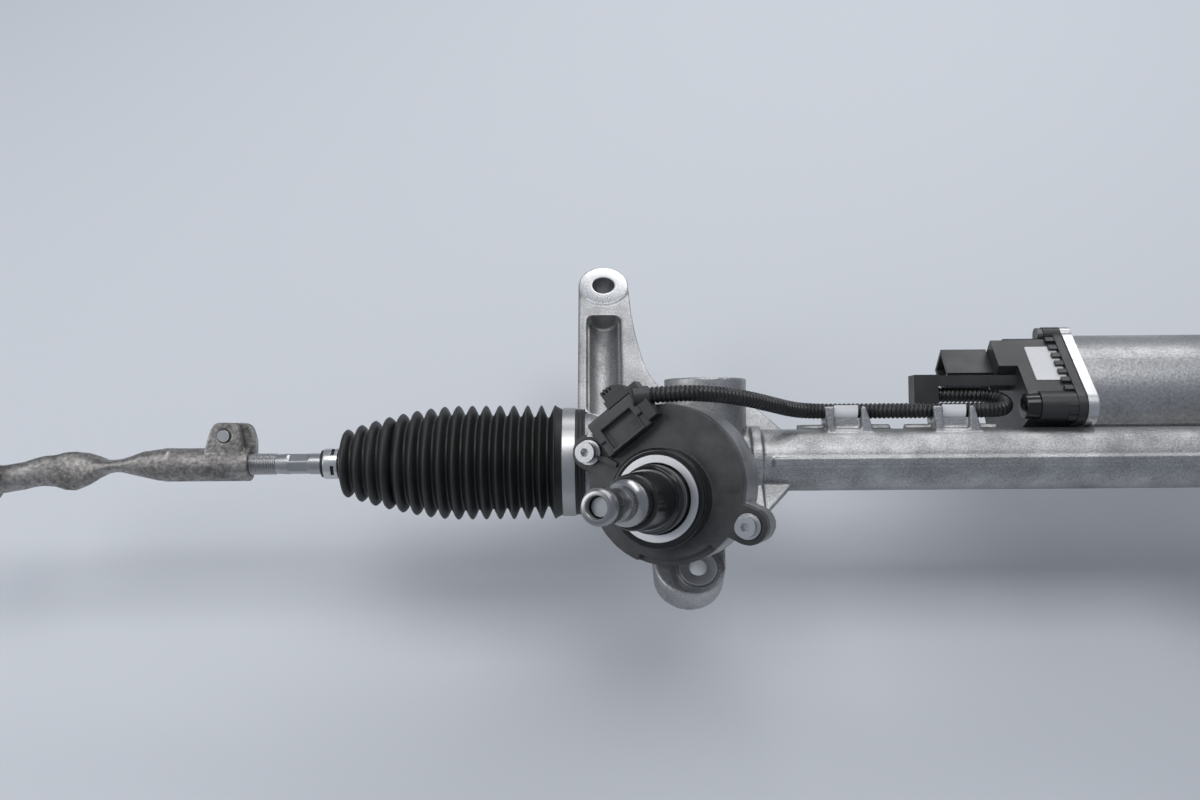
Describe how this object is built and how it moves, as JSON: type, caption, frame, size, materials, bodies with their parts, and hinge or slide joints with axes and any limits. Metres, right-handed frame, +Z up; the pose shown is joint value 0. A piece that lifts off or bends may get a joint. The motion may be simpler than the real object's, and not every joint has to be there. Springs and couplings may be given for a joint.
{
  "type": "electric power steering rack",
  "caption": "Car steering rack with pinion tower, belt-driven ball screw servo, motor with control unit, pleated bellows and two tie rods with ball joints.",
  "frame": {"origin": "centre of the long arm's mounting bore at its top face", "axes": "+Z up along the mounting bore, +X along the rack towards the motor end, +Y away from the steering column side"},
  "size_m": [1.3785, 0.2946, 0.1992],
  "materials": {
    "cast_alloy": "cast",
    "machined_alloy": "machined",
    "black_moulding": "moulded",
    "bright_steel": "machined",
    "plated_steel": "zinc plated",
    "dark_steel": "oiled",
    "forged_steel": "forged",
    "boot_rubber": "moulded",
    "white_clip": "moulded",
    "grey_plastic": "moulded",
    "copper_winding": "enamelled",
    "board_green": "solder resist"
  },
  "bodies": {
    "housing": {"pinion_housing": "cast_alloy", "servo_housing": "cast_alloy", "servo_cover": "cast_alloy", "servo_screws": "plated_steel", "sensor_cover": "black_moulding", "sensor_ring": "bright_steel", "cover_screws": "plated_steel", "sensor_plug": "black_moulding", "plug_latch": "black_moulding", "sensor_conduit": "black_moulding", "cable_clips": "white_clip", "cable_plug": "black_moulding", "upper_bearing": "bright_steel", "lower_bearing": "bright_steel", "bearing_nut": "plated_steel", "housing_cap": "machined_alloy", "support_yoke": "grey_plastic", "yoke_spring": "dark_steel", "yoke_plug": "machined_alloy", "rack_bush": "grey_plastic", "lug_sleeve": "bright_steel", "nut_bearing": "bright_steel", "bearing_lock_ring": "plated_steel", "motor_housing": "cast_alloy", "motor_bearings": "bright_steel", "motor_flange": "machined_alloy", "stator": "copper_winding", "unit_housing": "black_moulding", "unit_screws": "plated_steel", "circuit_board": "board_green", "power_connector": "black_moulding", "big_clamps": "plated_steel", "drive_belt": "black_moulding", "bellows_left": "boot_rubber", "bellows_right": "boot_rubber"},
    "rack": {"rack_bar": "bright_steel", "inner_sockets": "dark_steel", "ball_seats": "black_moulding"},
    "steering_shaft": {"pinion_shaft": "bright_steel", "input_shaft": "bright_steel", "torsion_bar": "bright_steel", "shaft_boot": "boot_rubber", "magnet_ring": "black_moulding"},
    "nut": {"ball_nut": "bright_steel", "nut_pulley": "bright_steel"},
    "rotor": {"rotor_shaft": "bright_steel", "rotor_magnets": "dark_steel", "motor_pulley": "bright_steel"},
    "tie_rod_left": {"tie_rod_left": "dark_steel", "rod_end_left": "forged_steel", "pinch_bolt_left": "plated_steel", "small_clamp_left": "plated_steel", "dust_boot_left": "boot_rubber"},
    "stud_left": {"ball_stud_left": "bright_steel"},
    "tie_rod_right": {"tie_rod_right": "dark_steel", "rod_end_right": "forged_steel", "pinch_bolt_right": "plated_steel", "small_clamp_right": "plated_steel", "dust_boot_right": "boot_rubber"},
    "stud_right": {"ball_stud_right": "bright_steel"}
  },
  "joints": [
    {"name": "motor_spin", "type": "hinge", "parent": "housing", "child": "rotor", "pos_m": [0.3629, -0.089, -0.0234], "axis": [1, 0, 0], "range_deg": [-6302, 6302]},
    {"name": "rack_slide", "type": "slide", "parent": "housing", "child": "rack", "axis": [1, 0, 0], "range_m": [-0.07, 0.07], "deforming": ["bellows_left", "bellows_right"]},
    {"name": "ball_nut_spin", "type": "hinge", "parent": "housing", "child": "nut", "pos_m": [0.4529, -0.1532, -0.008], "axis": [1, 0, 0], "range_deg": [-2522, 2522]},
    {"name": "pinion_turn", "type": "hinge", "parent": "housing", "child": "steering_shaft", "pos_m": [0.0629, -0.17073, -0.02027], "axis": [-0.3746, -0.5318, 0.7595], "range_deg": [-394.51, 394.51]},
    {"name": "tie_rod_left_swing", "type": "hinge", "parent": "rack", "child": "tie_rod_left", "pos_m": [-0.1251, -0.1532, -0.008], "axis": [0, 1, 0], "range_deg": [-18, 18]},
    {"name": "tie_rod_right_swing", "type": "hinge", "parent": "rack", "child": "tie_rod_right", "pos_m": [0.5994, -0.1532, -0.008], "axis": [0, 1, 0], "range_deg": [-18, 18]},
    {"name": "stud_left_swing", "type": "hinge", "parent": "tie_rod_left", "child": "stud_left", "pos_m": [-0.4291, -0.16139, -0.01374], "axis": [0, 1, 0], "range_deg": [-20, 20], "deforming": ["dust_boot_left"]},
    {"name": "stud_right_swing", "type": "hinge", "parent": "tie_rod_right", "child": "stud_right", "pos_m": [0.9034, -0.16139, -0.01374], "axis": [0, 1, 0], "range_deg": [-20, 20], "deforming": ["dust_boot_right"]}
  ],
  "couplings": [
    {"joint": "motor_spin", "follows": "rack_slide", "rad_per_m": -1570.8},
    {"joint": "ball_nut_spin", "follows": "rack_slide", "rad_per_m": -628.32},
    {"joint": "pinion_turn", "follows": "rack_slide", "rad_per_m": -98.115}
  ]
}
